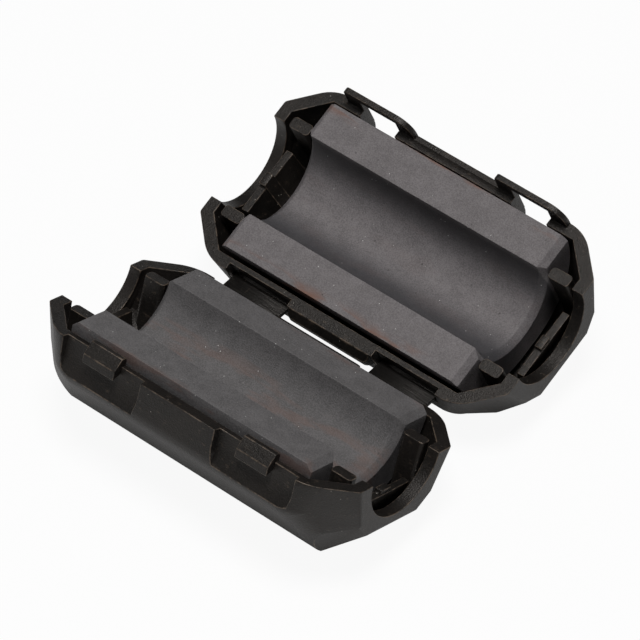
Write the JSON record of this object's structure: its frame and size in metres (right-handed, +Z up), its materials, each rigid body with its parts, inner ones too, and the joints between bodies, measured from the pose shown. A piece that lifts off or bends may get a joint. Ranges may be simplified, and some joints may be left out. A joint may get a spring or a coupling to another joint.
{
  "type": "clip on ferrite bead",
  "caption": "Hinged black nylon case, lying open, with a half-round-bored ferrite in each shell; it latches round a cable to choke high-frequency noise.",
  "frame": {"origin": "centre of the open part's outline, on the surface it lies on", "axes": "+X along the cable, +Y from the base shell towards the lid shell, +Z up"},
  "size_m": [0.0378, 0.0432, 0.0164],
  "materials": {
    "black_nylon": "semi-matte moulded black nylon, slightly worn at the edges",
    "ferrite": "sintered grey ferrite, ground mating faces, fine grain"
  },
  "bodies": {
    "base": {"base_case": "black_nylon"},
    "lower_ferrite": {"lower_ferrite_half": "ferrite"},
    "straps": {"hinge_strap_left": "black_nylon", "hinge_strap_right": "black_nylon"},
    "lid": {"lid_case": "black_nylon"},
    "upper_ferrite": {"upper_ferrite_half": "ferrite"}
  },
  "joints": [
    {"name": "base_hinge", "type": "hinge", "parent": "base", "child": "straps", "pos_m": [0, -0.00175, 0.00531], "axis": [1, 0, 0], "range_deg": [-21, 69]},
    {"name": "lid_hinge", "type": "hinge", "parent": "straps", "child": "lid", "pos_m": [0, 0.00175, 0.00531], "axis": [1, 0, 0], "range_deg": [-21, 69]},
    {"name": "lower_ferrite_float", "type": "slide", "parent": "base", "child": "lower_ferrite", "axis": [0, 0.3584, 0.9336], "range_m": [-0.00093, 0.00028]},
    {"name": "upper_ferrite_float", "type": "slide", "parent": "lid", "child": "upper_ferrite", "axis": [0, -0.3584, 0.9336], "range_m": [-0.00093, 0.00028]}
  ],
  "couplings": [
    {"joint": "base_hinge", "follows": "lower_ferrite_float", "rad_per_m": -1294.9},
    {"joint": "lid_hinge", "follows": "lower_ferrite_float", "rad_per_m": -1294.9},
    {"joint": "upper_ferrite_float", "follows": "lower_ferrite_float", "ratio": 1}
  ]
}
